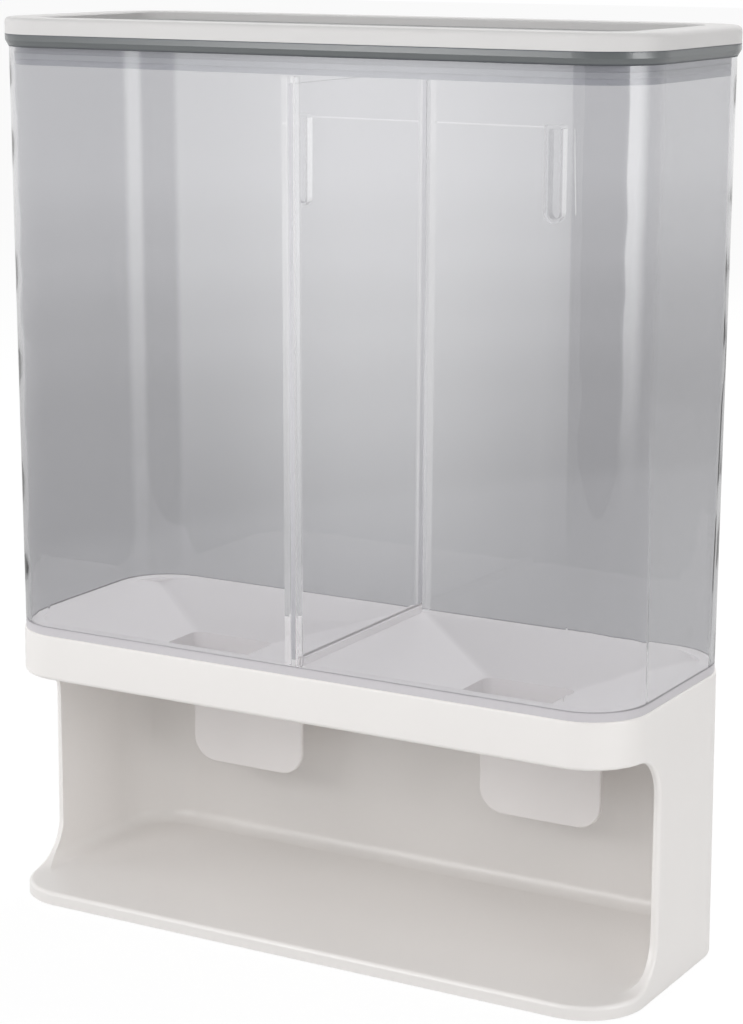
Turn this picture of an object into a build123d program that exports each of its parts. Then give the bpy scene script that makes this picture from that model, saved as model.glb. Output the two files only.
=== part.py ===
from build123d import *
from math import atan, cos, degrees, pi, sin
import os

os.makedirs("parts", exist_ok=True)

# Frame: +Z up, front face towards -Y, origin on the worktop under the middle of the body

# Body outline, measured at the white band that carries the container
body_width = 300.0
body_depth = 116.5
front_corner_radius = 26.0
rear_corner_radius = 28.0

# Stand: floor plate, side walls, back wall, deck and band in one moulding
stand_height = 124.4
stand_wall = 2.6
stand_back_wall = 3.5
stand_flare = 0.8
band_height = 20.0
band_edge_round = 0.8
deck_thickness = 2.4
floor_thickness = 5.8
floor_skin = 2.4
floor_rib = 1.6
floor_rib_columns = 7
floor_rib_rows = 2
bay_front_edge = -19.0
bay_top_radius = 18.5
bay_bottom_radius = 20.0
bay_edge_round = 1.8
bay_floor_fillet = 6.0

# Anti-slip feet, let into the underside of the floor plate
foot_diameter = 14.0
foot_proud = 0.5
foot_recess = 1.2
foot_clearance = 0.2
foot_boss_wall = 2.2
foot_inset = 26.0

# Clear container
container_height = 253.4
container_inset = 0.7
container_growth = 1.4
container_wall = 2.2
ledge_width = 3.5
ledge_thickness = 1.4
locating_skirt_height = 5.0
locating_skirt_wall = 1.6
locating_clearance = 0.3

# Wall pockets in the back of the container, which hang on a wall hook
pocket_inset = 87.0
pocket_width = 5.6
pocket_depth = 5.0
pocket_height = 38.0
pocket_drop = 33.0
pocket_wall = 1.6
pocket_line = 0.8

# Divider and the ribs that guide it
divider_thickness = 2.0
divider_drop = 10.8
divider_end_clearance = 0.4
divider_side_clearance = 0.3
guide_rib_root = 3.2
guide_rib_tip = 1.6
guide_rib_reach = 3.0
guide_rib_drop = 8.0
divider_channel_height = 3.0
divider_channel_wall = 1.4

# Hopper floor with two funnels
hopper_rim_thickness = 1.6
hopper_side_clearance = 0.4
hopper_wall = 1.8
hopper_gasket_thickness = 0.6
hopper_gasket_width = 3.0
funnel_drop = 14.0
funnel_ridge = 10.0
funnel_valley_radius = 8.0
hopper_boss_diameter = 8.0
hopper_boss_side_inset = 17.0
hopper_boss_end_inset = 20.25
hopper_screw_engagement = 6.0

# Outlets, one under each compartment
outlet_inset = 75.5
outlet_middle = 1.0
outlet_width = 42.0
outlet_depth = 30.0
outlet_radius = 5.0
spigot_wall = 1.6
spigot_clearance = 0.5

# Housing under the deck that carries the chute, the pin and the spring
flange_width = 82.0
flange_depth = 52.0
flange_thickness = 1.6
flange_radius = 6.0
flange_middle = 5.5
chute_drop = 8.0
ear_thickness = 2.4
ear_radius = 5.0
deck_boss_diameter = 7.0
deck_boss_height = 5.0
deck_screw_side = 36.0
deck_screw_end_inset = 6.5
spring_stop_thickness = 1.5

# Press lever: paddle, flap and two barrels in one moulding
pivot_behind_spigot = 8.0
pivot_drop = 6.4
paddle_width = 58.0
paddle_height = 43.2
paddle_thickness = 2.2
paddle_corner_radius = 11.0
paddle_edge_chamfer = 0.4
paddle_rib = 1.6
paddle_rib_reach = 2.4
paddle_rib_length = 34.0
flap_overhang = 2.0
flap_thickness = 1.6
flap_rib_depth = 2.2
flap_rib_end = 26.0
barrel_diameter = 7.0
barrel_length = 14.0
lever_side_clearance = 0.5

# Silicone pad on the flap, with a raised bead that meets the rim of the chute
seal_overhang = 1.0
seal_thickness = 0.8
seal_bead_height = 0.6
seal_bead_width = 3.0
seal_gap = 0.2

# Steel pin, held in the ears, and the running fit of the lever on it
pin_diameter = 3.0
pin_fit = 0.05
pin_press_clearance = 0.02
pin_head_diameter = 5.0
pin_head_thickness = 1.0
pin_end_reach = 0.8

# Torsion spring round the pin, between the barrels
spring_wire = 0.8
spring_clearance = 0.3
spring_turns = 2
spring_pitch = 1.3
spring_leg_length = 13.0
spring_stop_leg_length = 4.2
spring_leg_gap = 0.15
spring_rest_height = 6.0

# Screws of the plastic-thread kind
screw_diameter = 2.9
screw_pilot_clearance = 0.05
screw_hole = 3.4
screw_head_diameter = 6.0
screw_head_height = 1.8
screw_head_chamfer = 0.6
screw_tip_clearance = 1.2

# Lid: grey tray with its plug skirt, white frame and silicone gasket
lid_overhang = 1.55
collar_taper_height = 2.7
collar_straight_height = 2.6
lid_plate = 1.8
lid_skirt_depth = 7.3
lid_skirt_wall = 2.2
lid_skirt_clearance = 0.6
lid_frame_height = 6.8
lid_frame_width = 15.2
lid_frame_wall = 2.0
lid_frame_outer_round = 2.0
lid_frame_inner_chamfer = 0.6
lid_window_drop = 3.4
lid_window_clearance = 0.2
lid_gasket_height = 2.2
lid_gasket_drop = 2.6
lid_gasket_groove = 1.0
lid_gasket_gap = 0.3

# Heights that follow from the sizes above
floor_top = foot_proud + floor_thickness
band_bottom = stand_height - band_height
deck_top = band_bottom + deck_thickness
container_top = stand_height + container_height
ledge_top = stand_height + ledge_thickness
hopper_rim_bottom = ledge_top + hopper_gasket_thickness
hopper_top = hopper_rim_bottom + hopper_rim_thickness
outlet_top = hopper_top - funnel_drop
flange_bottom = band_bottom - flange_thickness
chute_bottom = flange_bottom - chute_drop
seal_top = chute_bottom - seal_gap
flap_top = seal_top - seal_bead_height - seal_thickness
flap_bottom = flap_top - flap_thickness
plate_top = container_top + collar_taper_height + collar_straight_height
lid_top = plate_top + lid_frame_height
pocket_top = container_top - pocket_drop
divider_top = container_top - divider_drop
guide_rib_top = container_top - guide_rib_drop
pivot_z = band_bottom - pivot_drop
paddle_bottom = flap_top - paddle_height

# Places that follow from the body and from each other
outlet_centre = body_width / 2 - outlet_inset
pocket_centre = body_width / 2 - pocket_inset
spigot_width = outlet_width + 2 * spigot_wall
spigot_depth = outlet_depth + 2 * spigot_wall
pivot_y = outlet_middle + spigot_depth / 2 + pivot_behind_spigot
pilot_diameter = screw_diameter + 2 * screw_pilot_clearance

# Reach within which an edge counts as lying on a named height or face
pick_margin = 0.1

# Side draft of the container and of the stand, as angles
container_draft = degrees(atan(container_growth / container_height))
stand_draft = degrees(atan(stand_flare / (stand_height - foot_proud)))


def plan(inset, back=0.0):
    """Outline of the body seen from above, drawn in all round, and by more at the back."""
    width = body_width - 2 * inset
    depth = body_depth - 2 * inset - back
    outline = Pos(0, -back / 2) * Rectangle(width, depth)
    outline = fillet(outline.vertices().sort_by(Axis.Y)[:2], front_corner_radius - inset)
    outline = fillet(outline.vertices().sort_by(Axis.Y)[-2:], rear_corner_radius - inset)
    return outline


def slab(outline, low, high, taper=0.0):
    """Upright solid between two heights; a negative taper widens it upwards."""
    return extrude(Pos(0, 0, low) * outline, amount=high - low, taper=taper)


def ring(outer_inset, inner_inset, low, high):
    """Upright band between two insets of the body outline."""
    return slab(plan(outer_inset), low, high) - slab(plan(inner_inset), low, high)


def rounded(width, depth, radius, x=0.0, y=0.0):
    """Rounded rectangle at a place in plan."""
    return Pos(x, y) * RectangleRounded(width, depth, radius)


def post(diameter, x, y, low, high):
    """Upright cylinder between two heights."""
    return slab(Pos(x, y) * Circle(diameter / 2), low, high)


def block(x_low, x_high, y_low, y_high, z_low, z_high):
    """Straight-sided block given by its limits."""
    centre = Pos((x_low + x_high) / 2, (y_low + y_high) / 2, (z_low + z_high) / 2)
    return centre * Box(x_high - x_low, y_high - y_low, z_high - z_low)


def rod_x(diameter, x_low, x_high, y, z):
    """Cylinder along X between two limits."""
    return Pos((x_low + x_high) / 2, y, z) * Rot(0, 90, 0) * Cylinder(diameter / 2, x_high - x_low)


def container_inset_at(height):
    """How far the outer face of the container lies inside the body outline at a height."""
    return container_inset - container_growth * (height - stand_height) / container_height


def screw(x, y, seat, tip):
    """Screw driven upwards, with its pan head under the seat."""
    head = post(screw_head_diameter, x, y, seat - screw_head_height, seat)
    head = chamfer(head.edges().group_by(Axis.Z)[0], screw_head_chamfer)
    return head + post(screw_diameter, x, y, seat, tip)


sides = {"left": -1, "right": 1}
foot_places = [
    (x * (body_width / 2 - foot_inset), y * (body_depth / 2 - foot_inset))
    for x in (-1, 1)
    for y in (-1, 1)
]
hopper_screw_places = [
    (x * (body_width / 2 - hopper_boss_side_inset), y * (body_depth / 2 - hopper_boss_end_inset))
    for x in (-1, 1)
    for y in (-1, 1)
]
deck_screw_places = {
    side: [
        (sign * outlet_centre + x * deck_screw_side, flange_middle + x * (flange_depth / 2 - deck_screw_end_inset))
        for x in (-1, 1)
    ]
    for side, sign in sides.items()
}


def make_stand():
    """White stand: its open bay wraps round both front corners."""
    outside = extrude(
        Pos(0, 0, stand_height) * plan(0),
        amount=stand_height - foot_proud,
        dir=(0, 0, -1),
        taper=-stand_draft,
    )
    reach = body_depth
    bay_height = band_bottom - floor_top
    bay = Plane.YZ * Pos(bay_front_edge - reach / 2, floor_top + bay_height / 2) * Rectangle(reach, bay_height)
    upper_corner = bay.vertices().group_by(Axis.Y)[-1].sort_by(Axis.Z)[-1]
    bay = fillet(upper_corner, bay_top_radius)
    lower_corner = bay.vertices().group_by(Axis.Y)[-1].sort_by(Axis.Z)[0]
    bay = fillet(lower_corner, bay_bottom_radius)
    stand = outside - extrude(bay, amount=body_width, both=True)

    # The rim of the bay is one smooth loop round the front
    rim = [
        edge
        for edge in stand.edges()
        if floor_top - pick_margin < edge.center().Z < band_bottom + pick_margin
        and edge.center().Y < bay_front_edge + pick_margin
        and (abs(edge.center().X) > pick_margin or edge.center().Y < -body_depth / 2 + pick_margin)
    ]
    stand = fillet(rim, bay_edge_round)
    stand = fillet(stand.edges().group_by(Axis.Z)[-1], band_edge_round)

    # Room inside the bay, with a soft corner to the floor
    room = slab(plan(stand_wall, stand_back_wall - stand_wall), floor_top, band_bottom)
    room = fillet(room.edges().group_by(Axis.Z)[0], bay_floor_fillet)
    stand = stand - room - slab(plan(stand_wall), deck_top, stand_height)

    # Ribbed underside of the floor plate, with a boss round each foot
    skin_bottom = floor_top - floor_skin
    hollow = slab(plan(stand_wall), foot_proud, skin_bottom)
    for column in range(1, floor_rib_columns):
        x = body_width * (column / floor_rib_columns - 0.5)
        hollow -= block(x - floor_rib / 2, x + floor_rib / 2, -reach, reach, foot_proud, skin_bottom)
    for row in range(1, floor_rib_rows):
        y = body_depth * (row / floor_rib_rows - 0.5)
        hollow -= block(-body_width, body_width, y - floor_rib / 2, y + floor_rib / 2, foot_proud, skin_bottom)
    recess_diameter = foot_diameter + 2 * foot_clearance
    for x, y in foot_places:
        hollow -= post(recess_diameter + 2 * foot_boss_wall, x, y, foot_proud, skin_bottom)
    stand -= hollow
    for x, y in foot_places:
        stand -= post(recess_diameter, x, y, foot_proud, foot_proud + foot_recess)

    # Deck: outlet cut-outs, screw holes and the bosses for the housings
    for side, sign in sides.items():
        opening = rounded(
            spigot_width + 2 * spigot_clearance,
            spigot_depth + 2 * spigot_clearance,
            outlet_radius + spigot_wall + spigot_clearance,
            sign * outlet_centre,
            outlet_middle,
        )
        stand -= slab(opening, band_bottom, deck_top)
        for x, y in deck_screw_places[side]:
            stand += post(deck_boss_diameter, x, y, deck_top, deck_top + deck_boss_height)
            stand -= post(pilot_diameter, x, y, band_bottom, deck_top + deck_boss_height - screw_tip_clearance)
    for x, y in hopper_screw_places:
        stand -= post(screw_hole, x, y, band_bottom, deck_top)
    return stand


def make_feet():
    """Four soft pads that stand a little proud of the floor plate."""
    return [post(foot_diameter, x, y, 0, foot_proud + foot_recess) for x, y in foot_places]


def make_container():
    """Clear box, open at both ends, with a ledge and a locating skirt at the bottom."""
    outer = slab(plan(container_inset), stand_height, container_top, -container_draft)
    inner = slab(plan(container_inset + container_wall), stand_height, container_top, -container_draft)
    shell = outer - inner
    floor_inset = container_inset + container_wall
    shell += ring(floor_inset - container_wall / 2, floor_inset + ledge_width, stand_height, ledge_top)
    skirt_inset = stand_wall + locating_clearance
    skirt_bottom = stand_height - locating_skirt_height
    shell += ring(skirt_inset, skirt_inset + locating_skirt_wall, skirt_bottom, ledge_top)

    # Guide ribs: a tapered pair on the front wall and on the back wall
    slot = divider_thickness / 2 + divider_side_clearance
    ribs_bottom = hopper_top + locating_clearance
    ribs_height = guide_rib_top - ribs_bottom
    wall_at_top = body_depth / 2 - container_inset_at(guide_rib_top) - container_wall / 2
    wall_at_bottom = body_depth / 2 - container_inset_at(ribs_bottom) - container_wall / 2
    for front in (-1, 1):
        for side in (-1, 1):
            sections = []
            for height, wall in ((ribs_bottom, wall_at_bottom), (ribs_bottom + ribs_height, wall_at_top)):
                tip = front * (wall - container_wall / 2 - guide_rib_reach)
                root = front * wall
                outline = Polyline(
                    (side * slot, root, height),
                    (side * slot, tip, height),
                    (side * (slot + guide_rib_tip), tip, height),
                    (side * (slot + guide_rib_root), root, height),
                    close=True,
                )
                sections.append(make_face(outline))
            shell += loft(sections, ruled=True)

    # Blind pockets for the wall hooks, and the fine line that joins their tops
    back_face = body_depth / 2 - container_inset_at(pocket_top)
    pocket_middle = pocket_top - pocket_height / 2
    for side in (-1, 1):
        bump = pocket_shape(side, pocket_width + 2 * pocket_wall, pocket_height + 2 * pocket_wall)
        shell += extrude(
            Pos(0, back_face - container_wall / 2) * bump,
            amount=pocket_depth + pocket_wall - container_wall / 2,
            dir=(0, -1, 0),
        )
    for side in (-1, 1):
        slot_shape = pocket_shape(side, pocket_width, pocket_height)
        shell -= extrude(
            Pos(0, back_face + container_growth) * slot_shape,
            amount=pocket_depth + container_growth,
            dir=(0, -1, 0),
        )
    line_inner = slot + guide_rib_root
    line_front = back_face - container_wall - pocket_line
    for side in (-1, 1):
        ends = sorted((side * line_inner, side * pocket_centre))
        shell += block(*ends, line_front, back_face - container_wall / 2, pocket_top, pocket_top + pocket_line)
    return shell


def pocket_shape(side, width, height):
    """Upright slot with a round lower end, drawn on the XZ plane and ending above at the same line."""
    top = pocket_top + (width - pocket_width) / 2
    straight = height - width / 2
    upper = Pos(side * pocket_centre, top - straight / 2) * Rectangle(width, straight)
    lower = Pos(side * pocket_centre, top - straight) * Circle(width / 2)
    return Plane.XZ * (upper + lower)


def make_hopper():
    """White floor of the container: two funnels that end in spigots, and a channel for the divider."""
    rim_inset = container_inset + container_wall + hopper_side_clearance
    mouth_inset = rim_inset + ledge_width + hopper_wall
    hopper = slab(plan(rim_inset), hopper_rim_bottom, hopper_top)
    under_drop = hopper_rim_thickness
    for sign in sides.values():
        hopper += funnel(sign, mouth_inset, hopper_wall, under_drop)
        hopper += slab(outlet_shape(sign, spigot_wall), band_bottom + spigot_clearance, outlet_top - under_drop)
    for x, y in hopper_screw_places:
        hopper += post(hopper_boss_diameter, x, y, deck_top, hopper_rim_bottom)
    for sign in sides.values():
        hopper -= funnel(sign, mouth_inset, 0, 0)
        hopper -= slab(outlet_shape(sign, 0), band_bottom, hopper_top)
    for x, y in hopper_screw_places:
        hopper -= post(pilot_diameter, x, y, deck_top, deck_top + hopper_screw_engagement)
    channel_half = divider_thickness / 2 + divider_side_clearance
    half_depth = body_depth / 2 - mouth_inset
    for side in (-1, 1):
        walls = sorted((side * channel_half, side * (channel_half + divider_channel_wall)))
        hopper += block(*walls, -half_depth, half_depth, hopper_top, hopper_top + divider_channel_height)
    return hopper


def funnel(sign, inset, grown, drop):
    """Hollow of one funnel, or its outer form when grown: four slopes with rounded valleys."""
    low = outlet_top - drop
    high = hopper_top - drop
    ridge = funnel_ridge / 2 - grown
    side = body_width / 2 - inset + grown
    end = body_depth / 2 - inset + grown
    outlet_half = outlet_width / 2 + grown
    outlet_end = outlet_depth / 2 + grown
    across = Polyline(
        (sign * (outlet_centre - outlet_half), low),
        (sign * (outlet_centre + outlet_half), low),
        (sign * side, high),
        (sign * ridge, high),
        close=True,
    )
    along = Polyline(
        (outlet_middle - outlet_end, low),
        (outlet_middle + outlet_end, low),
        (end, high),
        (-end, high),
        close=True,
    )
    form = extrude(Plane.XZ * make_face(across), amount=body_depth, both=True)
    form &= extrude(Plane.YZ * make_face(along), amount=body_width, both=True)
    valleys = [edge for edge in form.edges() if low + pick_margin < edge.center().Z < high - pick_margin]
    form = fillet(valleys, funnel_valley_radius)
    return form & slab(plan(inset - grown), low, high)


def outlet_shape(sign, extra):
    """Outlet of one funnel, grown all round by an amount."""
    return rounded(
        outlet_width + 2 * extra,
        outlet_depth + 2 * extra,
        outlet_radius + extra,
        sign * outlet_centre,
        outlet_middle,
    )


def make_hopper_gasket():
    """Flat silicone ring between the ledge of the container and the rim of the hopper."""
    inset = container_inset + container_wall + hopper_side_clearance
    return ring(inset, inset + hopper_gasket_width, ledge_top, hopper_rim_bottom)


def make_divider():
    """Clear panel whose ends follow the draft of the container."""
    bottom = hopper_top
    sections = []
    for height in (bottom, divider_top):
        half = body_depth / 2 - container_inset_at(height) - container_wall - divider_end_clearance
        sections.append(Pos(0, 0, height) * Rectangle(divider_thickness, 2 * half))
    return loft(sections, ruled=True)


def make_housing(side_name):
    """Flange, chute, two ears for the pin and a stop for the spring."""
    sign = sides[side_name]
    centre = sign * outlet_centre
    flange = rounded(flange_width, flange_depth, flange_radius, centre, flange_middle)
    housing = slab(flange, flange_bottom, band_bottom)
    housing += slab(outlet_shape(sign, spigot_wall), chute_bottom, flange_bottom)
    housing -= slab(outlet_shape(sign, 0), chute_bottom, band_bottom)
    ear_start = paddle_width / 2 + lever_side_clearance
    for side in (-1, 1):
        low, high = sorted((centre + side * ear_start, centre + side * (ear_start + ear_thickness)))
        housing += block(low, high, pivot_y - ear_radius, pivot_y + ear_radius, pivot_z, flange_bottom)
        housing += rod_x(2 * ear_radius, low, high, pivot_y, pivot_z)
        housing -= rod_x(pin_diameter + 2 * pin_press_clearance, low, high, pivot_y, pivot_z)
    stop_face = spring_leg_face() - spring_leg_gap
    stop_bottom = pivot_z + spring_radius() + spring_wire / 2 + spring_leg_gap
    half = spring_half_length()
    housing += block(
        centre - half, centre + half, stop_face - spring_stop_thickness, stop_face, stop_bottom, flange_bottom
    )
    for x, y in deck_screw_places[side_name]:
        housing -= post(screw_hole, x, y, flange_bottom, band_bottom)
    return housing


def spring_radius():
    """Mean radius of the spring, which runs just clear of the pin."""
    return pin_diameter / 2 + spring_clearance + spring_wire / 2


def spring_leg_face():
    """Front of both straight legs of the spring, which lie behind the pin."""
    return pivot_y + spring_radius() - spring_wire / 2


def spring_half_length():
    """Half of the coiled length, with one wire to spare."""
    return spring_turns * spring_pitch / 2 + spring_wire


def make_spring(sign):
    """One wire: a straight leg behind the paddle, the coil, and a straight leg up to the stop."""
    radius = spring_radius()
    half_turns = 2 * spring_turns
    start_x = sign * outlet_centre - half_turns * spring_pitch / 4

    def on_coil(half_turn):
        angle = pi * half_turn
        return Vector(
            start_x + spring_pitch * half_turn / 2,
            pivot_y + radius * cos(angle),
            pivot_z + radius * sin(angle),
        )

    def along_coil(half_turn):
        angle = pi * half_turn
        rise = spring_pitch / (2 * pi * radius)
        return Vector(rise, -sin(angle), cos(angle)).normalized()

    edges = [Line(on_coil(0) - along_coil(0) * spring_leg_length, on_coil(0))]
    for step in range(half_turns):
        edges += biarc(on_coil(step), along_coil(step), on_coil(step + 1), along_coil(step + 1))
    coil_end = on_coil(half_turns)
    edges.append(Line(coil_end, coil_end + along_coil(half_turns) * spring_stop_leg_length))
    path = Wire([edge for piece in edges for edge in piece.edges()])
    gap = least_gap(path) - spring_wire
    print(f"Torsion spring at x {start_x:.1f} mm: least gap to itself {gap:.2f} mm")
    section = Plane(path @ 0, z_dir=path % 0) * Circle(spring_wire / 2)
    return sweep(section, path=path)


def least_gap(path):
    """Shortest distance between points of a coiled centreline that are half a turn apart or more."""
    count = 400
    points = [path.position_at(step / count) for step in range(count + 1)]
    apart = int(count * pi * spring_radius() / path.length)
    return min(
        (points[second] - points[first]).length
        for first in range(count)
        for second in range(first + apart, count + 1)
    )


def biarc(start, start_way, end, end_way):
    """Two arcs that leave one point and reach the next along given directions."""
    chord = end - start
    ways = start_way + end_way
    across = chord.dot(ways)
    spread = 2 * (1 - start_way.dot(end_way))
    reach = (-across + (across**2 + spread * chord.dot(chord)) ** 0.5) / spread
    joint = (start + end + (start_way - end_way) * reach) * 0.5
    return [TangentArc(start, joint, tangent=start_way), TangentArc(end, joint, tangent=end_way * -1)]


def make_lever(sign):
    """Paddle that the cup pushes, and the flap that it opens, turning on two barrels."""
    centre = sign * outlet_centre
    front = pivot_y - paddle_thickness / 2
    back = pivot_y + paddle_thickness / 2
    height = flap_top - paddle_bottom
    paddle = Pos(centre, paddle_bottom + height / 2) * Rectangle(paddle_width, height)
    paddle = fillet(paddle.vertices().group_by(Axis.Y)[0], paddle_corner_radius)
    lever = extrude(Pos(0, back) * (Plane.XZ * paddle), amount=paddle_thickness, dir=(0, -1, 0))
    lever = chamfer(lever.edges().group_by(Axis.Y)[0] + lever.edges().group_by(Axis.Y)[-1], paddle_edge_chamfer)
    flap_half = spigot_width / 2 + flap_overhang
    flap_front = outlet_middle - spigot_depth / 2 - flap_overhang
    lever += block(centre - flap_half, centre + flap_half, flap_front, front, flap_bottom, flap_top)
    for side in (-1, 1):
        outer_end = centre + side * paddle_width / 2
        low, high = sorted((outer_end, outer_end - side * barrel_length))
        lever += rod_x(barrel_diameter, low, high, pivot_y, pivot_z)
        lever += block(low, high, front - paddle_rib, back, flap_bottom, pivot_z)
        rib = centre + side * outlet_width / 2
        rib_low, rib_high = rib - paddle_rib / 2, rib + paddle_rib / 2
        lever += block(rib_low, rib_high, front - flap_rib_end, front, flap_bottom - flap_rib_depth, flap_bottom)
        lever += block(
            rib_low, rib_high, back, back + paddle_rib_reach, flap_bottom - paddle_rib_length, flap_bottom
        )
    half = spring_half_length()
    rest_back = spring_leg_face() - spring_leg_gap
    lever += block(centre - half, centre + half, back, rest_back, flap_bottom - spring_rest_height, flap_bottom)
    reach = paddle_width / 2
    lever -= rod_x(pin_diameter + 2 * pin_fit, centre - reach, centre + reach, pivot_y, pivot_z)
    return lever


def make_seal(sign):
    """Silicone pad with a raised bead under the rim of the chute."""
    pad = slab(outlet_shape(sign, spigot_wall + seal_overhang), flap_top, flap_top + seal_thickness)
    bead_low = flap_top + seal_thickness
    bead = slab(outlet_shape(sign, spigot_wall + seal_overhang), bead_low, seal_top)
    inner = spigot_wall + seal_overhang - seal_bead_width
    return pad + (bead - slab(outlet_shape(sign, inner), bead_low, seal_top))


def make_pin(sign):
    """Steel pin with a flat head at its outer end."""
    centre = sign * outlet_centre
    half = paddle_width / 2 + lever_side_clearance + ear_thickness
    outer = centre + sign * half
    inner = centre - sign * (half + pin_end_reach)
    pin = rod_x(pin_diameter, *sorted((outer, inner)), pivot_y, pivot_z)
    head_ends = sorted((outer, outer + sign * pin_head_thickness))
    return pin + rod_x(pin_head_diameter, *head_ends, pivot_y, pivot_z)


def make_housing_screws(side):
    """Two screws that hold one housing to the deck, at opposite corners of its flange."""
    tip = deck_top + deck_boss_height - 2 * screw_tip_clearance
    return [screw(x, y, flange_bottom, tip) for x, y in deck_screw_places[side]]


def make_hopper_screws():
    """Four screws that draw the hopper, and with it the container, down onto the deck."""
    tip = deck_top + hopper_screw_engagement - screw_tip_clearance
    return [screw(x, y, band_bottom, tip) for x, y in hopper_screw_places]


def make_lid_tray():
    """Grey tray: a collar on the rim of the container, a plug skirt inside it and a raised window."""
    rim_inset = container_inset - container_growth
    outer_inset = rim_inset - lid_overhang
    flare = degrees(atan(lid_overhang / collar_taper_height))
    taper_top = container_top + collar_taper_height
    tray = slab(plan(rim_inset), container_top, taper_top, -flare)
    tray += slab(plan(outer_inset), taper_top, plate_top)
    skirt_inset = rim_inset + container_wall + lid_skirt_clearance
    skirt_bottom = container_top - lid_skirt_depth
    tray += slab(plan(skirt_inset), skirt_bottom, container_top)
    window_inset = outer_inset + lid_frame_width
    window_top = lid_top - lid_window_drop
    tray += slab(plan(window_inset), plate_top, window_top)
    tray -= slab(plan(skirt_inset + lid_skirt_wall), skirt_bottom, plate_top - lid_plate)
    tray -= slab(plan(window_inset + lid_plate), plate_top - lid_plate, window_top - lid_plate)
    groove_top = container_top - lid_gasket_drop
    tray -= ring(skirt_inset, skirt_inset + lid_gasket_groove, groove_top - lid_gasket_height, groove_top)
    return tray


def make_lid_gasket():
    """Silicone ring in the groove of the plug skirt."""
    wall_inset = container_inset - container_growth + container_wall
    top = container_top - lid_gasket_drop
    return ring(
        wall_inset + lid_gasket_gap,
        wall_inset + lid_skirt_clearance + lid_gasket_groove,
        top - lid_gasket_height,
        top,
    )


def make_lid_frame():
    """White frame round the window, hollow underneath."""
    outer_inset = container_inset - container_growth - lid_overhang
    inner_inset = outer_inset + lid_frame_width - lid_window_clearance
    frame = slab(plan(outer_inset), plate_top, lid_top)
    frame = fillet(frame.edges().group_by(Axis.Z)[-1], lid_frame_outer_round)
    frame -= slab(plan(inner_inset), plate_top, lid_top)
    half_width = body_width / 2 - inner_inset + lid_window_clearance
    half_depth = body_depth / 2 - inner_inset + lid_window_clearance
    inner_edges = [
        edge
        for edge in frame.edges().group_by(Axis.Z)[-1]
        if abs(edge.center().X) < half_width and abs(edge.center().Y) < half_depth
    ]
    frame = chamfer(inner_edges, lid_frame_inner_chamfer)
    return frame - ring(
        outer_inset + lid_frame_wall, inner_inset - lid_frame_wall, plate_top, lid_top - lid_frame_wall
    )


parts = {
    "base_stand": make_stand(),
    "base_feet": make_feet(),
    "container": make_container(),
    "hopper_floor": make_hopper(),
    "hopper_gasket": make_hopper_gasket(),
    "hopper_screws": make_hopper_screws(),
    "divider": make_divider(),
    "lid_tray": make_lid_tray(),
    "lid_gasket": make_lid_gasket(),
    "lid_frame": make_lid_frame(),
}
for side, sign in sides.items():
    parts["outlet_housing_" + side] = make_housing(side)
    parts["housing_screws_" + side] = make_housing_screws(side)
    parts["press_lever_" + side] = make_lever(sign)
    parts["flap_seal_" + side] = make_seal(sign)
    parts["pivot_pin_" + side] = make_pin(sign)
    parts["torsion_spring_" + side] = make_spring(sign)

for name, shape in parts.items():
    solid = Compound(children=shape) if isinstance(shape, list) else shape
    export_step(solid, "parts/" + name + ".step")
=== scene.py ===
"""Looks of a two-compartment rice dispenser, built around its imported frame."""

import logging
import math
from dataclasses import dataclass, field
from enum import Enum
from typing import Callable

import bpy
from mathutils import Matrix, Vector


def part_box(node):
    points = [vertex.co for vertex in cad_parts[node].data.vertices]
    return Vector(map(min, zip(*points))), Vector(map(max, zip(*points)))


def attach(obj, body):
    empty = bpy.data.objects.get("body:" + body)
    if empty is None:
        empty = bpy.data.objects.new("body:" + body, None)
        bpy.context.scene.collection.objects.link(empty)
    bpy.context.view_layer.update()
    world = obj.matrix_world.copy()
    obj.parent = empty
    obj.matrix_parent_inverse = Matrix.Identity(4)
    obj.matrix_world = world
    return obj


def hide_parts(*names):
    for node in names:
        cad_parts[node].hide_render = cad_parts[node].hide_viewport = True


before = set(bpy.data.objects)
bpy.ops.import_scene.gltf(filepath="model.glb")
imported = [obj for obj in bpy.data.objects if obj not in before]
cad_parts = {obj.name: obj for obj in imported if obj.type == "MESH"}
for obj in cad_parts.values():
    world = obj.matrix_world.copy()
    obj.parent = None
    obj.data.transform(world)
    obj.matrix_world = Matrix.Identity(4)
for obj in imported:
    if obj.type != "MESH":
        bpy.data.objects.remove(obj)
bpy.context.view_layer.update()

log = logging.getLogger("dispenser")
Colour = tuple[float, float, float]
Point = tuple[float, float, float]


class Coord(Enum):
    """Coordinates that a pattern may follow."""

    OBJECT = "Object"
    UV = "UV"


class Side(Enum):
    """The two halves of the dispenser."""

    LEFT = "left"
    RIGHT = "right"


def deselect_all() -> None:
    """Leave edit mode and deselect every object."""
    if bpy.context.object is not None and bpy.context.object.mode != "OBJECT":
        bpy.ops.object.mode_set(mode="OBJECT")
    bpy.ops.object.select_all(action="DESELECT")


def activate(piece: bpy.types.Object) -> None:
    """Select one object alone and make it active.

    Args:
        piece: The object that the next operators act on.
    """
    deselect_all()
    piece.select_set(True)
    bpy.context.view_layer.objects.active = piece


def apply_all(piece: bpy.types.Object) -> None:
    """Apply every modifier of a piece in order.

    Args:
        piece: The object whose modifiers become mesh.
    """
    activate(piece)
    for modifier in list(piece.modifiers):
        bpy.ops.object.modifier_apply(modifier=modifier.name)


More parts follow.
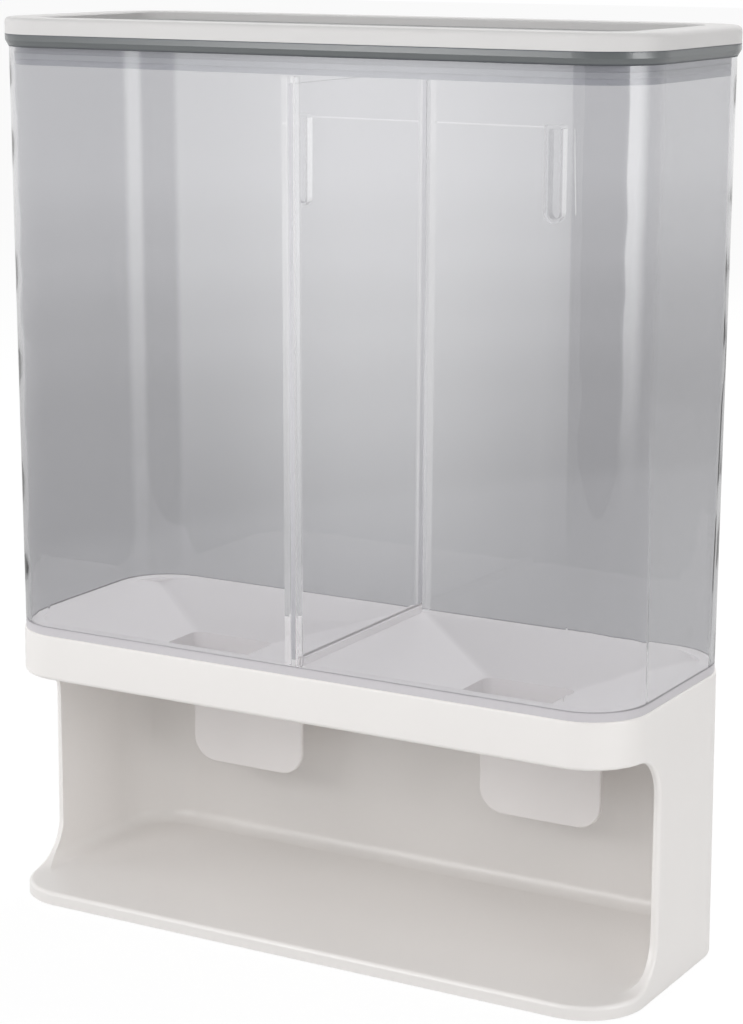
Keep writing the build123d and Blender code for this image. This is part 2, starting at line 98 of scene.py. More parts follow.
@dataclass(frozen=True)
class MicroSurface:
    """Fine relief and gloss variation that moulded plastic shows up close."""

    name: str = "Moulded micro surface"
    cloud_scale: float = 14.0
    cloud_detail: float = 3.0
    grain_detail: float = 2.0
    noise_middle: float = 0.5

    def group(self) -> bpy.types.NodeTree:
        """Build the shared node group once.

        Returns:
            The node group with colour, roughness and height outputs.
        """
        if self.name in bpy.data.node_groups:
            return bpy.data.node_groups[self.name]
        tree = bpy.data.node_groups.new(self.name, "ShaderNodeTree")
        sockets = tree.interface
        sockets.new_socket("Vector", in_out="INPUT", socket_type="NodeSocketVector")
        sockets.new_socket("Colour", in_out="INPUT", socket_type="NodeSocketColor")
        for label in ("Mottle", "Gloss spread", "Gloss", "Grain"):
            sockets.new_socket(label, in_out="INPUT", socket_type="NodeSocketFloat")
        sockets.new_socket("Colour", in_out="OUTPUT", socket_type="NodeSocketColor")
        for label in ("Roughness", "Height"):
            sockets.new_socket(label, in_out="OUTPUT", socket_type="NodeSocketFloat")
        nodes, links = tree.nodes, tree.links
        source = nodes.new("NodeGroupInput")
        sink = nodes.new("NodeGroupOutput")

        clouds = nodes.new("ShaderNodeTexNoise")
        clouds.inputs["Scale"].default_value = self.cloud_scale
        clouds.inputs["Detail"].default_value = self.cloud_detail
        links.new(source.outputs["Vector"], clouds.inputs["Vector"])
        centred = nodes.new("ShaderNodeMath")
        centred.operation = "SUBTRACT"
        centred.inputs[1].default_value = self.noise_middle
        links.new(clouds.outputs["Fac"], centred.inputs[0])

        shade = nodes.new("ShaderNodeMath")
        shade.operation = "MULTIPLY_ADD"
        shade.inputs[2].default_value = 1.0
        links.new(centred.outputs[0], shade.inputs[0])
        links.new(source.outputs["Mottle"], shade.inputs[1])
        tint = nodes.new("ShaderNodeMix")
        tint.data_type = "RGBA"
        tint.blend_type = "MULTIPLY"
        tint.inputs["Factor"].default_value = 1.0
        links.new(source.outputs["Colour"], tint.inputs["A"])
        links.new(shade.outputs[0], tint.inputs["B"])
        links.new(tint.outputs["Result"], sink.inputs["Colour"])

        gloss = nodes.new("ShaderNodeMath")
        gloss.operation = "MULTIPLY_ADD"
        links.new(centred.outputs[0], gloss.inputs[0])
        links.new(source.outputs["Gloss spread"], gloss.inputs[1])
        links.new(source.outputs["Gloss"], gloss.inputs[2])
        links.new(gloss.outputs[0], sink.inputs["Roughness"])

        grain = nodes.new("ShaderNodeTexNoise")
        grain.inputs["Detail"].default_value = self.grain_detail
        links.new(source.outputs["Vector"], grain.inputs["Vector"])
        links.new(source.outputs["Grain"], grain.inputs["Scale"])
        links.new(grain.outputs["Fac"], sink.inputs["Height"])
        return tree


@dataclass(frozen=True)
class Finish:
    """What every finish has: a name, a colour and a roughness."""

    name: str
    colour: Colour
    roughness: float

    def surface(self, mottle: float, gloss_spread: float, grain_scale: float, grain_depth: float,
                grain_strength: float) -> bpy.types.Material:
        """Start the node material with its varying colour and gloss and its fine relief.

        Args:
            mottle: How far the colour varies.
            gloss_spread: How far the roughness varies.
            grain_scale: Fineness of the relief.
            grain_depth: Depth of the relief in metres.
            grain_strength: Share of the relief that shows.

        Returns:
            The material, whose shader still needs its own settings.
        """
        material = bpy.data.materials.new(self.name)
        material.use_nodes = True
        nodes, links = material.node_tree.nodes, material.node_tree.links
        shader = nodes["Principled BSDF"]
        coordinates = nodes.new("ShaderNodeTexCoord")
        micro = nodes.new("ShaderNodeGroup")
        micro.node_tree = MicroSurface().group()
        micro.inputs["Colour"].default_value = (*self.colour, 1.0)
        micro.inputs["Mottle"].default_value = mottle
        micro.inputs["Gloss spread"].default_value = gloss_spread
        micro.inputs["Gloss"].default_value = self.roughness
        micro.inputs["Grain"].default_value = grain_scale
        links.new(coordinates.outputs[Coord.OBJECT.value], micro.inputs["Vector"])
        links.new(micro.outputs["Colour"], shader.inputs["Base Color"])
        links.new(micro.outputs["Roughness"], shader.inputs["Roughness"])
        bump = nodes.new("ShaderNodeBump")
        bump.inputs["Strength"].default_value = grain_strength
        bump.inputs["Distance"].default_value = grain_depth
        links.new(micro.outputs["Height"], bump.inputs["Height"])
        links.new(bump.outputs["Normal"], shader.inputs["Normal"])
        return material

    def build(self) -> bpy.types.Material:
        """Make the node material, which each kind of finish does in its own way."""
        raise NotImplementedError


@dataclass(frozen=True)
class Moulded(Finish):
    """Opaque moulded plastic, rubber or metal."""

    mottle: float = 0.03
    gloss_spread: float = 0.06
    grain_scale: float = 700.0
    grain_depth: float = 0.00002
    grain_strength: float = 0.5
    metallic: float = 0.0
    ior: float = 1.5

    def build(self) -> bpy.types.Material:
        """Make the node material.

        Returns:
            The finished material.
        """
        material = self.surface(self.mottle, self.gloss_spread, self.grain_scale, self.grain_depth,
                                self.grain_strength)
        shader = material.node_tree.nodes["Principled BSDF"]
        shader.inputs["IOR"].default_value = self.ior
        shader.inputs["Metallic"].default_value = self.metallic
        return material


@dataclass(frozen=True)
class Clear(Finish):
    """Clear or translucent moulded plastic, with a faint long ripple."""

    transmission: float
    ior: float = 1.55
    mottle: float = 0.02
    gloss_spread: float = 0.02
    ripple_scale: float = 9.0
    ripple_depth: float = 0.00001
    ripple_strength: float = 0.4
    shade: float = 0.985

    def build(self) -> bpy.types.Material:
        """Make the node material.

        Returns:
            The finished material.
        """
        material = self.surface(self.mottle, self.gloss_spread, self.ripple_scale, self.ripple_depth,
                                self.ripple_strength)
        shader = material.node_tree.nodes["Principled BSDF"]
        shader.inputs["IOR"].default_value = self.ior
        shader.inputs["Transmission Weight"].default_value = self.transmission
        self.let_light_through(material)
        return material

    def let_light_through(self, material: bpy.types.Material) -> None:
        """Let soft light pass the thin wall, so that what stands behind it is lit.

        Args:
            material: The material whose shadow and diffuse rays pass straight through.
        """
        nodes, links = material.node_tree.nodes, material.node_tree.links
        light_path = nodes.new("ShaderNodeLightPath")
        either = nodes.new("ShaderNodeMath")
        either.operation = "MAXIMUM"
        links.new(light_path.outputs["Is Shadow Ray"], either.inputs[0])
        links.new(light_path.outputs["Is Diffuse Ray"], either.inputs[1])
        clear = nodes.new("ShaderNodeBsdfTransparent")
        clear.inputs["Color"].default_value = (self.shade, self.shade, self.shade, 1.0)
        mix = nodes.new("ShaderNodeMixShader")
        links.new(either.outputs[0], mix.inputs["Fac"])
        links.new(nodes["Principled BSDF"].outputs["BSDF"], mix.inputs[1])
        links.new(clear.outputs["BSDF"], mix.inputs[2])
        links.new(mix.outputs["Shader"], nodes["Material Output"].inputs["Surface"])


WHITE_ABS = Moulded("White stand plastic", (0.90, 0.875, 0.855), 0.36)
PADDLE_WHITE = Moulded("Paddle plastic", (0.93, 0.90, 0.89), 0.42)
# White lid plastic with painted shade: its colour is kept darker than the stand's white, to offset the light that
# falls on the lid from above.
LID_WHITE_PAINTED_SHADE = Moulded("White lid plastic with painted shade", (0.71, 0.70, 0.695), 0.45, ior=1.22)
HOPPER_WHITE = Moulded("Hopper plastic", (0.94, 0.915, 0.925), 0.4)
SILICONE = Moulded("White silicone", (0.92, 0.91, 0.9), 0.55, grain_depth=0.00004)
SMOKY_SILICONE = Moulded("Smoky silicone", (0.42, 0.43, 0.46), 0.5, grain_depth=0.00004)
# Painted gap shadow: near-black bands on the lid tray at the container rim and under the white frame, standing in
# for the shade between parts.
PAINTED_GAP_SHADOW = Moulded("Painted gap shadow", (0.07, 0.075, 0.085), 0.4, grain_depth=0.00003)
FROSTED_FOOT = Moulded("Frosted container foot", (0.625, 0.605, 0.63), 0.35)
DIVIDER_EDGE = Moulded("Frosted divider edge", (0.45, 0.44, 0.48), 0.35)
FOOT_RUBBER = Moulded("Foot rubber", (0.42, 0.42, 0.41), 0.65, grain_depth=0.00005)
STEEL = Moulded("Bright steel", (0.62, 0.62, 0.63), 0.25, metallic=1.0, grain_scale=1500.0)
CLEAR = Clear("Clear container plastic", (0.725, 0.725, 0.74), 0.015, 1.0, ior=1.5, gloss_spread=0.01)
DIVIDER_CLEAR = Clear("Clear divider plastic", (0.97, 0.97, 0.975), 0.02, 1.0, ior=1.12)
# Painted highlight: an untinted, rougher clear finish that shows the pocket walls and the fine line between the
# pockets as bright lines.
PAINTED_HIGHLIGHT_EDGE = Clear("Clear edge with painted highlight", (1.0, 1.0, 1.0), 0.25, 1.0, ior=1.12)
# Painted highlight: an untinted, partly milky finish that shows the divider's guide ribs as bright lines.
RIB_PAINTED_HIGHLIGHT = Clear("Clear guide rib with painted highlight", (1.0, 1.0, 1.0), 0.08, 0.8, ior=1.1)
# A darker tint than the container wall, for the slot walls of the guide ribs.
DARKER_SLOT_CLEAR = Clear("Darker clear slot wall", (0.62, 0.61, 0.65), 0.1, 1.0, ior=1.1)
GREY_LID = Clear("Grey lid plastic", (0.20, 0.215, 0.22), 0.22, 0.35, gloss_spread=0.05, shade=0.5)
LID_SKIRT = Clear("Thin grey lid skirt", (0.50, 0.51, 0.55), 0.25, 0.35, gloss_spread=0.05, shade=0.8)
LID_WINDOW = Clear("Grey lid window", (0.36, 0.365, 0.37), 0.3, 0.35, gloss_spread=0.03, shade=0.5)


@dataclass
class Dresser:
    """Gives CAD nodes their finishes, each through a smooth merged copy where it shows curves."""

    smooth_angle: float = math.radians(24.0)
    weld_gap: float = 0.000002
    materials: dict[str, bpy.types.Material] = field(default_factory=dict)

    def material(self, finish: Finish) -> bpy.types.Material:
        """Look a finish's material up, or build it on first use.

        Args:
            finish: The finish.

        Returns:
            Its one material.
        """
        if finish.name not in self.materials:
            self.materials[finish.name] = finish.build()
        return self.materials[finish.name]

    def dress(self, node: str, finish: Finish) -> None:
        """Put a finish on a CAD node as it stands.

        Args:
            node: Name of the node.
            finish: Its finish.
        """
        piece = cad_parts[node]
        piece.data.materials.clear()
        piece.data.materials.append(self.material(finish))
        log.info("dressed %s in %s", node, finish.name)

    def second_finish(self, piece: bpy.types.Object, finish: Finish,
                      chosen: Callable[[Vector, Vector], bool]) -> None:
        """Give some faces of a piece a finish of their own.

        Args:
            piece: The piece.
            finish: The further finish.
            chosen: Tells from a face's centre and normal whether it takes that finish.
        """
        piece.data.materials.append(self.material(finish))
        slot = len(piece.data.materials) - 1
        for face in piece.data.polygons:
            if chosen(face.center, face.normal):
                face.material_index = slot

    @staticmethod
    def cut_level(piece: bpy.types.Object, height: float) -> None:
        """Divide the faces of a piece along a level line, so that a finish can end there.

        Args:
            piece: The piece.
            height: Height of the line in metres.
        """
        activate(piece)
        bpy.ops.object.mode_set(mode="EDIT")
        bpy.ops.mesh.select_all(action="SELECT")
        bpy.ops.mesh.bisect(plane_co=(0.0, 0.0, height), plane_no=(0.0, 0.0, 1.0))
        bpy.ops.object.mode_set(mode="OBJECT")

    def refined(self, node: str, name: str, body: str, finish: Finish,
                levels: tuple[float, ...] = ()) -> bpy.types.Object:
        """Stand a welded, smooth-shaded piece in for a CAD node.

        Args:
            node: Name of the node.
            name: Name of the new piece.
            body: Body that it rides on.
            finish: Its finish.
            levels: Heights at which its faces are divided.

        Returns:
            The new piece.
        """
        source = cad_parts[node]
        piece = bpy.data.objects.new(name, source.data.copy())
        bpy.context.scene.collection.objects.link(piece)
        activate(piece)
        bpy.ops.object.mode_set(mode="EDIT")
        bpy.ops.mesh.select_all(action="SELECT")
        bpy.ops.mesh.remove_doubles(threshold=self.weld_gap)
        bpy.ops.object.mode_set(mode="OBJECT")
        if piece.data.has_custom_normals:
            bpy.ops.mesh.customdata_custom_splitnormals_clear()
        for height in levels:
            self.cut_level(piece, height)
        bpy.ops.object.shade_smooth_by_angle(angle=self.smooth_angle)
        even = piece.modifiers.new("even walls", "WEIGHTED_NORMAL")
        even.mode = "FACE_AREA"
        even.keep_sharp = True
        apply_all(piece)
        piece.data.materials.clear()
        piece.data.materials.append(self.material(finish))
        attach(piece, body)
        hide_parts(node)
        log.info("refined %s as %s", node, name)
        return piece


@dataclass(frozen=True)
class SoftBox:
    """Soft box that faces the dispenser, its azimuth in degrees from the front towards +X, the rest in metres."""

    name: str
    azimuth: float
    height: float
    distance: float
    size: tuple[float, float]
    watts: float
    aim_height: float = 0.2

    def build(self) -> None:
        """Hang the soft box and turn it to the dispenser."""
        data = bpy.data.lights.new(self.name, "AREA")
        data.shape = "RECTANGLE"
        data.size, data.size_y = self.size
        data.energy = self.watts
        light = bpy.data.objects.new(self.name, data)
        bpy.context.scene.collection.objects.link(light)
        light.visible_glossy = light.visible_transmission = False
        angle = math.radians(self.azimuth)
        light.location = (self.distance * math.sin(angle), -self.distance * math.cos(angle), self.height)
        aim = Vector((0.0, 0.0, self.aim_height)) - light.location
        light.rotation_euler = aim.to_track_quat("-Z", "Y").to_euler()


@dataclass(frozen=True)
class ReflectorCard:
    """Glowing card that shows only as a soft reflection in the clear plastic.

    Its glow comes in over the rise, a stretch of its height, and over the run_in, and dies away over the run_out,
    stretches of its width. Azimuth in degrees from the front towards +X, lengths in metres.
    """

    name: str
    azimuth: float
    distance: float
    across: tuple[float, float]
    upright: tuple[float, float]
    strength: float
    rise: tuple[float, float] = (-0.01, 0.0)
    run_in: tuple[float, float] = (-0.01, 0.0)
    run_out: tuple[float, float] = (1.0, 1.01)
    cuts: int = 2

    def material(self) -> bpy.types.Material:
        """Glow that comes in from the card's foot and one side and dies away to the other, clear where it is out.

        Returns:
            The card's material.
        """
        material = bpy.data.materials.new(self.name)
        material.use_nodes = True
        nodes, links = material.node_tree.nodes, material.node_tree.links
        nodes.remove(nodes["Principled BSDF"])
        coordinates = nodes.new("ShaderNodeTexCoord")
        split = nodes.new("ShaderNodeSeparateXYZ")
        links.new(coordinates.outputs[Coord.UV.value], split.inputs["Vector"])
        share = None
        for axis, stretch, ends in (("Y", self.rise, (0.0, 1.0)), ("X", self.run_in, (0.0, 1.0)),
                                    ("X", self.run_out, (1.0, 0.0))):
            ramp = nodes.new("ShaderNodeMapRange")
            ramp.interpolation_type = "SMOOTHSTEP"
            ramp.inputs["From Min"].default_value, ramp.inputs["From Max"].default_value = stretch
            ramp.inputs["To Min"].default_value, ramp.inputs["To Max"].default_value = ends
            links.new(split.outputs[axis], ramp.inputs["Value"])
            if share is None:
                share = ramp.outputs["Result"]
                continue
            both = nodes.new("ShaderNodeMath")
            both.operation = "MULTIPLY"
            links.new(share, both.inputs[0])
            links.new(ramp.outputs["Result"], both.inputs[1])
            share = both.outputs[0]
        glow = nodes.new("ShaderNodeEmission")
        glow.inputs["Strength"].default_value = self.strength
        clear = nodes.new("ShaderNodeBsdfTransparent")
        mix = nodes.new("ShaderNodeMixShader")
        links.new(share, mix.inputs["Fac"])
        links.new(clear.outputs["BSDF"], mix.inputs[1])
        links.new(glow.outputs["Emission"], mix.inputs[2])
        links.new(mix.outputs["Shader"], nodes["Material Output"].inputs["Surface"])
        return material

    def build(self) -> None:
        """Stand the card up facing the dispenser."""
        deselect_all()
        bpy.ops.mesh.primitive_grid_add(x_subdivisions=self.cuts, y_subdivisions=self.cuts, size=1.0)
        card = bpy.context.object
        card.name = self.name
        width = self.across[1] - self.across[0]
        height = self.upright[1] - self.upright[0]
        middle = (self.across[0] + self.across[1]) / 2
        angle = math.radians(self.azimuth)
        outward = Vector((math.sin(angle), -math.cos(angle), 0.0))
        sideways = Vector((math.cos(angle), math.sin(angle), 0.0))
        place = outward * self.distance + sideways * middle + Vector((0.0, 0.0, sum(self.upright) / 2))
        turn = Matrix((sideways, Vector((0.0, 0.0, 1.0)), outward)).transposed().to_4x4()
        size = Matrix.Diagonal((width, height, 1.0, 1.0))
        card.data.transform(Matrix.Translation(place) @ turn @ size)
        card.data.materials.append(self.material())
        card.visible_camera = card.visible_diffuse = False
        card.visible_transmission = card.visible_shadow = False
        log.info("stood %s", self.name)


SOFT_BOXES = (
    SoftBox("left", -75.0, 0.35, 1.7, (1.0, 0.7), 9.3),
    SoftBox("front_left", -20.0, 1.1, 1.5, (1.0, 1.0), 7.2),
    SoftBox("front_right", 20.0, 1.1, 1.5, (1.0, 1.0), 5.7),
    SoftBox("overhead", 0.0, 2.0, 0.4, (1.4, 1.4), 4.0),
    SoftBox("right", 75.0, 0.35, 1.7, (1.0, 0.7), 7.5),
    SoftBox("behind", 180.0, 1.3, 1.5, (1.2, 1.0), 24.0),
)
CARDS = (
    ReflectorCard("front_left_card", -31.0, 0.6, (-0.0475, 0.235), (0.0, 0.42), 3.7, rise=(-0.024, 0.595),
                  run_in=(0.0, 0.02), run_out=(0.78, 1.0)),
    ReflectorCard("middle_card", -31.0, 0.59, (-0.04, 0.2), (0.0, 0.42), 5.7, rise=(-0.119, 0.5),
                  run_in=(0.0, 0.45), run_out=(0.55, 1.0)),
    ReflectorCard("strip_card", -31.0, 0.6, (-0.0775, -0.0635), (0.0, 0.42), 4.7, rise=(-0.048, 0.786),
                  run_in=(0.0, 0.4), run_out=(0.7, 1.0)),
    ReflectorCard("right_card", 90.0, 0.9, (-0.36, 0.30), (0.0, 0.4), 7.0, rise=(0.04, 0.72),
                  run_in=(0.0, 0.1), run_out=(0.35, 1.0)),
    ReflectorCard("dark_card", 32.0, 1.0, (-0.55, 0.65), (0.0, 0.9), 0.22),
)


@dataclass
class Studio:
    """Pale floor, soft boxes, reflector cards and the camera of the photograph."""

    yaw: float = 0.5199
    pitch: float = 0.2165
    roll: float = 0.0037
    location: Point = (0.56218, -0.97111, 0.43024)
    focal_pixels: float = 2686.8
    image_width: int = 743
    image_height: int = 1024
    principal_x: float = 374.65
    principal_y: float = 510.95
    sensor: float = 36.0
    far_clip: float = 50.0
    floor_reach: float = 12.0
    floor_cuts: int = 8
    floor_grey: float = 0.80
    floor_roughness: float = 0.9
    floor_glow: float = 1.04
    shadow_share: float = 0.1
    foot_corner: float = 0.027
    gap_inset: float = 0.003
    # Painted shade on the floor as reflections and the clear plastic show it: the glow darkens round this centre,
    # over these reaches and tones.
    floor_shade_centre: Point = (0.4, 0.3, 0.0)
    floor_shade_reach: float = 4.0
    floor_shade_tones: tuple[tuple[float, float], ...] = (
        (0.75, 0.66), (0.92, 0.64), (1.0, 0.575), (1.35, 0.605), (1.8, 0.72), (2.5, 0.88), (3.7, 1.0))
    ambient: float = 0.25

    def camera(self) -> None:
        """Place the camera of the photograph."""
        data = bpy.data.cameras.new("camera")
        camera = bpy.data.objects.new("camera", data)
        bpy.context.scene.collection.objects.link(camera)
        data.sensor_width = self.sensor
        data.lens = self.focal_pixels * self.sensor / self.image_height
        data.shift_x = (self.image_width / 2 - self.principal_x) / self.image_height
        data.shift_y = (self.principal_y - self.image_height / 2) / self.image_height
        data.clip_end = self.far_clip
        turn = Matrix.Rotation(self.yaw, 3, "Z") @ Matrix.Rotation(math.pi / 2 - self.pitch, 3, "X")
        turn = turn @ Matrix.Rotation(self.roll, 3, "Z")
        camera.location = self.location
        camera.rotation_euler = turn.to_euler()
        bpy.context.scene.camera = camera

    @staticmethod
    def seen(tree: bpy.types.NodeTree) -> bpy.types.NodeSocket:
        """One where the camera looks straight on, through plastic or by a reflection.

        Args:
            tree: The node tree that asks.

        Returns:
            The socket with that answer.
        """
        light_path = tree.nodes.new("ShaderNodeLightPath")
        answer = light_path.outputs["Is Camera Ray"]
        for other in ("Is Glossy Ray", "Is Transmission Ray"):
            either = tree.nodes.new("ShaderNodeMath")
            either.operation = "MAXIMUM"
            tree.links.new(answer, either.inputs[0])
            tree.links.new(light_path.outputs[other], either.inputs[1])
            answer = either.outputs[0]
        return answer

    def floor(self) -> None:
        """Lay the pale floor, near white to the eye, which keeps a faint shadow."""
        deselect_all()
        bpy.ops.mesh.primitive_grid_add(x_subdivisions=self.floor_cuts, y_subdivisions=self.floor_cuts,
                                        size=2 * self.floor_reach)
        floor = bpy.context.object
        floor.name = "floor"
        material = bpy.data.materials.new("Studio floor")
        material.use_nodes = True
        nodes, links = material.node_tree.nodes, material.node_tree.links
        shader = nodes["Principled BSDF"]
        shader.inputs["Base Color"].default_value = (self.floor_grey, self.floor_grey, self.floor_grey, 1.0)
        shader.inputs["Roughness"].default_value = self.floor_roughness
        shader.inputs["Specular IOR Level"].default_value = 0.0
        glow = nodes.new("ShaderNodeEmission")
        # Painted floor shade: the glow is white to the camera, and darker round the dispenser in reflections and
        # through the plastic.
        links.new(self.painted_floor_shade(material.node_tree), glow.inputs["Strength"])
        mix = nodes.new("ShaderNodeMixShader")
        share = nodes.new("ShaderNodeMath")
        share.operation = "MULTIPLY"
        share.inputs[1].default_value = 1.0 - self.shadow_share
        links.new(self.seen(material.node_tree), share.inputs[0])
        lit = nodes.new("ShaderNodeMath")
        lit.operation = "MULTIPLY"
        links.new(share.outputs[0], lit.inputs[0])
        links.new(self.outside_stand(material.node_tree), lit.inputs[1])
        links.new(lit.outputs[0], mix.inputs["Fac"])
        links.new(shader.outputs["BSDF"], mix.inputs[1])
        links.new(glow.outputs["Emission"], mix.inputs[2])
        links.new(mix.outputs["Shader"], nodes["Material Output"].inputs["Surface"])
        floor.data.materials.append(material)

    def outside_stand(self, tree: bpy.types.NodeTree) -> bpy.types.NodeSocket:
        """One on open floor, zero in the narrow gap under the stand, where the floor only takes real light.

        Args:
            tree: The floor's node tree.

        Returns:
            The socket with that answer.
        """
        coordinates = tree.nodes.new("ShaderNodeTexCoord")
        width, depth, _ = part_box("base_stand")[1]
        straight = (width - self.foot_corner, depth - self.foot_corner, 1.0)
        place = coordinates.outputs[Coord.OBJECT.value]
        for operation, other in (("ABSOLUTE", None), ("SUBTRACT", straight), ("MAXIMUM", (0.0, 0.0, 0.0)),
                                 ("LENGTH", None)):
            step = tree.nodes.new("ShaderNodeVectorMath")
            step.operation = operation
            tree.links.new(place, step.inputs[0])
            if other is not None:
                step.inputs[1].default_value = other
            place = step.outputs["Value" if operation == "LENGTH" else "Vector"]
        answer = tree.nodes.new("ShaderNodeMath")
        answer.operation = "GREATER_THAN"
        answer.inputs[1].default_value = self.foot_corner - self.gap_inset
        tree.links.new(place, answer.inputs[0])
        return answer.outputs[0]

    def painted_floor_shade(self, tree: bpy.types.NodeTree) -> bpy.types.NodeSocket:
        """Brightness of the floor: white to the camera; to plastic that reflects or passes it, a pale glow with
        painted shade, darker round the dispenser and white far off.

        Args:
            tree: The floor's node tree.

        Returns:
            The socket with the brightness.
        """
        coordinates = tree.nodes.new("ShaderNodeTexCoord")
        away = tree.nodes.new("ShaderNodeVectorMath")
        away.operation = "DISTANCE"
        away.inputs[1].default_value = self.floor_shade_centre
        tree.links.new(coordinates.outputs[Coord.OBJECT.value], away.inputs[0])
        share = tree.nodes.new("ShaderNodeMath")
        share.operation = "DIVIDE"
        share.inputs[1].default_value = self.floor_shade_reach
        tree.links.new(away.outputs["Value"], share.inputs[0])
        ramp = tree.nodes.new("ShaderNodeValToRGB")
        tones = ramp.color_ramp
        tones.interpolation = "EASE"
        for number, (reach, tone) in enumerate(self.floor_shade_tones):
            stop = tones.elements[number] if number < 2 else tones.elements.new(1.0)
            stop.position = reach / self.floor_shade_reach
            stop.color = (tone, tone, tone, 1.0)
        tree.links.new(share.outputs[0], ramp.inputs["Fac"])
        light_path = tree.nodes.new("ShaderNodeLightPath")
        pick = tree.nodes.new("ShaderNodeMix")
        pick.data_type = "FLOAT"
        pick.inputs["B"].default_value = self.floor_glow
        tree.links.new(light_path.outputs["Is Camera Ray"], pick.inputs["Factor"])
        tree.links.new(ramp.outputs["Color"], pick.inputs["A"])
        return pick.outputs["Result"]

    def world(self) -> None:
        """White surroundings to the eye, and a soft even light on everything."""
        world = bpy.data.worlds.new("studio")
        bpy.context.scene.world = world
        world.use_nodes = True
        nodes, links = world.node_tree.nodes, world.node_tree.links
        nodes.clear()
        white = nodes.new("ShaderNodeBackground")
        white.inputs["Color"].default_value = (1.0, 1.0, 1.0, 1.0)
        around = nodes.new("ShaderNodeBackground")
        around.inputs["Color"].default_value = (1.0, 1.0, 1.0, 1.0)
        around.inputs["Strength"].default_value = self.ambient
        mix = nodes.new("ShaderNodeMixShader")
        output = nodes.new("ShaderNodeOutputWorld")
        links.new(self.seen(world.node_tree), mix.inputs["Fac"])
        links.new(around.outputs["Background"], mix.inputs[1])
        links.new(white.outputs["Background"], mix.inputs[2])
        links.new(mix.outputs["Shader"], output.inputs["Surface"])

    def build(self) -> None:
        """Build the whole studio."""
        self.camera()
        self.floor()
        self.world()
        for fitting in SOFT_BOXES + CARDS:
            fitting.build()
        bpy.context.scene.view_settings.view_transform = "Standard"


@dataclass
class Stand:
    """White stand with its feet."""

    body: str = "stand"

    def build(self, dresser: Dresser) -> None:
        """Dress the stand."""
        dresser.refined("base_stand", "stand_moulding", self.body, WHITE_ABS)
        dresser.dress("base_feet", FOOT_RUBBER)


@dataclass
class Container:
    """Clear container, divider and hopper floor."""

    body: str = "stand"
    foot_rise: float = 0.0036
    edge_facing: float = 0.9
    slot_facing: float = 0.98
    rib_half: float = 0.0048
    rib_zone: tuple[float, float] = (0.05, 0.0564)
    pocket_across: tuple[float, float] = (0.056, 0.071)
    pocket_front: float = 0.0525
    pocket_heights: tuple[float, float] = (0.3, 0.35)
    line_heights: tuple[float, float] = (0.3446, 0.3458)
    line_zone: tuple[float, float] = (0.0545, 0.0564)
    line_half: float = 0.0625
    side_facing: float = 0.5

    def build(self, dresser: Dresser) -> None:
        """Dress the container and what stands in it.

        Args:
            dresser: Gives the nodes their finishes.
        """
        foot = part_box("base_stand")[1][2] + self.foot_rise
        shell = dresser.refined("container", "container_shell", self.body, CLEAR, (foot,))
        dresser.second_finish(shell, FROSTED_FOOT, lambda centre, normal: centre.z < foot)
        # Painted highlight on the guide ribs.
        dresser.second_finish(shell, RIB_PAINTED_HIGHLIGHT, lambda centre, normal: centre.z > foot and self.on_rib(centre))
        # The ribs' slot walls take a darker tint than the rest of the wall.
        dresser.second_finish(shell, DARKER_SLOT_CLEAR, lambda centre, normal: centre.z > foot and self.on_rib(centre)
                              and abs(normal.x) > self.slot_facing)
        # Painted highlight on the pocket side walls and on the fine line between the pockets.
        dresser.second_finish(shell, PAINTED_HIGHLIGHT_EDGE, self.on_pocket_edge)
        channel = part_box("hopper_floor")[1][2]
        panel = dresser.refined("divider", "divider_panel", "divider_panel", DIVIDER_CLEAR,
                                (channel,))
        dresser.second_finish(panel, DIVIDER_EDGE, lambda centre, normal: abs(normal.y) > self.edge_facing)
        # Painted light: the divider's faces below the hopper's top take the hopper's opaque white, over the shade
        # of the narrow channel gap.
        dresser.second_finish(panel, HOPPER_WHITE, lambda centre, normal: centre.z < channel)
        dresser.refined("hopper_floor", "hopper_moulding", self.body, HOPPER_WHITE)
        dresser.dress("hopper_gasket", SILICONE)
        dresser.dress("hopper_screws", STEEL)

    def on_rib(self, centre: Vector) -> bool:
        """True for a face of the ribs that guide the divider."""
        return abs(centre.x) < self.rib_half and self.rib_zone[0] < abs(centre.y) < self.rib_zone[1]

    def on_pocket_edge(self, centre: Vector, normal: Vector) -> bool:
        """Tell the side walls of the hook pockets, and the faces of the fine line between the pockets.

        Args:
            centre: Centre of the face.
            normal: Its normal.

        Returns:
            True for such a face.
        """
        low, high = self.line_heights
        front, rear = self.line_zone
        if low < centre.z < high and front < centre.y < rear and abs(centre.x) < self.line_half:
            return True
        within = self.pocket_across[0] < abs(centre.x) < self.pocket_across[1]
        level = self.pocket_heights[0] < centre.z < self.pocket_heights[1]
        return within and level and centre.y > self.pocket_front and abs(normal.y) < self.side_facing


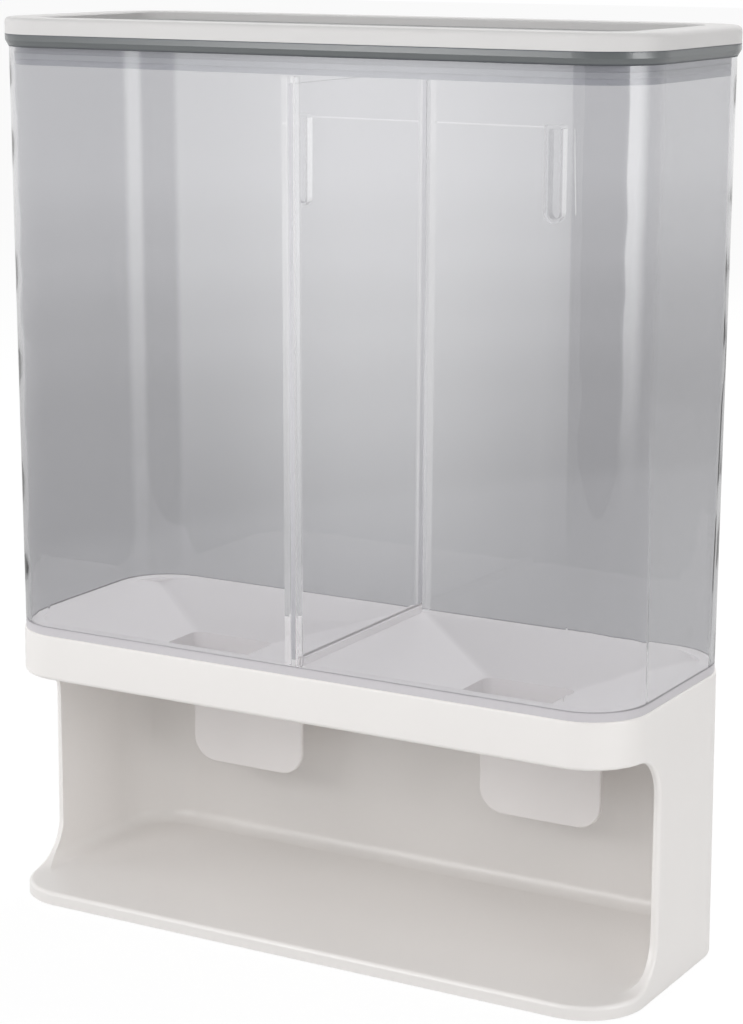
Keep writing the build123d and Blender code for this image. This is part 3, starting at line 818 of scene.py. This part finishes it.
@dataclass
class Lid:
    """Grey tray, white frame and gasket."""

    body: str = "lid"
    # Heights of the two painted shadow bands: one above the container rim, one below the white frame.
    lower_shadow_band: float = 0.0006
    upper_shadow_band: float = 0.0004
    window_margin: float = 0.006
    level_facing: float = 0.9

    def build(self, dresser: Dresser) -> None:
        """Dress the lid.

        Args:
            dresser: Gives the nodes their finishes.
        """
        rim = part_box("container")[1][2]
        frame_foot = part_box("lid_frame")[0][2]
        lower_shadow_top, upper_shadow_foot = rim + self.lower_shadow_band, frame_foot - self.upper_shadow_band
        tray = dresser.refined("lid_tray", "lid_collar", self.body, GREY_LID,
                               (lower_shadow_top, upper_shadow_foot))
        dresser.second_finish(tray, LID_SKIRT, lambda centre, normal: centre.z < rim - self.lower_shadow_band)
        dresser.second_finish(tray, LID_WINDOW, self.in_window)
        # Painted shadow: thin near-black bands where the collar meets the rim and where it meets the white frame.
        dresser.second_finish(tray, PAINTED_GAP_SHADOW, lambda centre, normal: rim <= centre.z < lower_shadow_top
                              or upper_shadow_foot < centre.z <= frame_foot)
        # The white frame's colour holds painted shade against the light from above.
        dresser.refined("lid_frame", "lid_ring", self.body, LID_WHITE_PAINTED_SHADE)
        dresser.dress("lid_gasket", SMOKY_SILICONE)

    def in_window(self, centre: Vector, normal: Vector) -> bool:
        """Tell the faces of the window, which lies flat inside the ring.

        Args:
            centre: Centre of the face.
            normal: Its normal.

        Returns:
            True for such a face.
        """
        low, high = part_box("lid_frame")
        inside = abs(centre.x) < high[0] - self.window_margin and abs(centre.y) < high[1] - self.window_margin
        return inside and normal.z > self.level_facing and centre.z > low[2]


@dataclass
class PressUnit:
    """Housing, lever, seal, pin, spring and screws of one outlet."""

    side: Side

    def build(self, dresser: Dresser) -> None:
        """Dress one outlet.

        Args:
            dresser: Gives the nodes their finishes.
        """
        end = "_" + self.side.value
        lever_body = self.side.value + "_lever"
        dresser.refined("press_lever" + end, "paddle" + end, lever_body, PADDLE_WHITE)
        dresser.refined("outlet_housing" + end, "chute_housing" + end, "stand", WHITE_ABS)
        dresser.dress("flap_seal" + end, SILICONE)
        for node in ("pivot_pin", "torsion_spring", "housing_screws"):
            dresser.dress(node + end, STEEL)


def main() -> None:
    """Build the studio and dress the dispenser."""
    logging.basicConfig(level=logging.INFO, format="%(name)s: %(message)s")
    dresser = Dresser()
    Studio().build()
    Stand().build(dresser)
    Container().build(dresser)
    Lid().build(dresser)
    for side in Side:
        PressUnit(side).build(dresser)


if __name__ == "__main__":
    main()
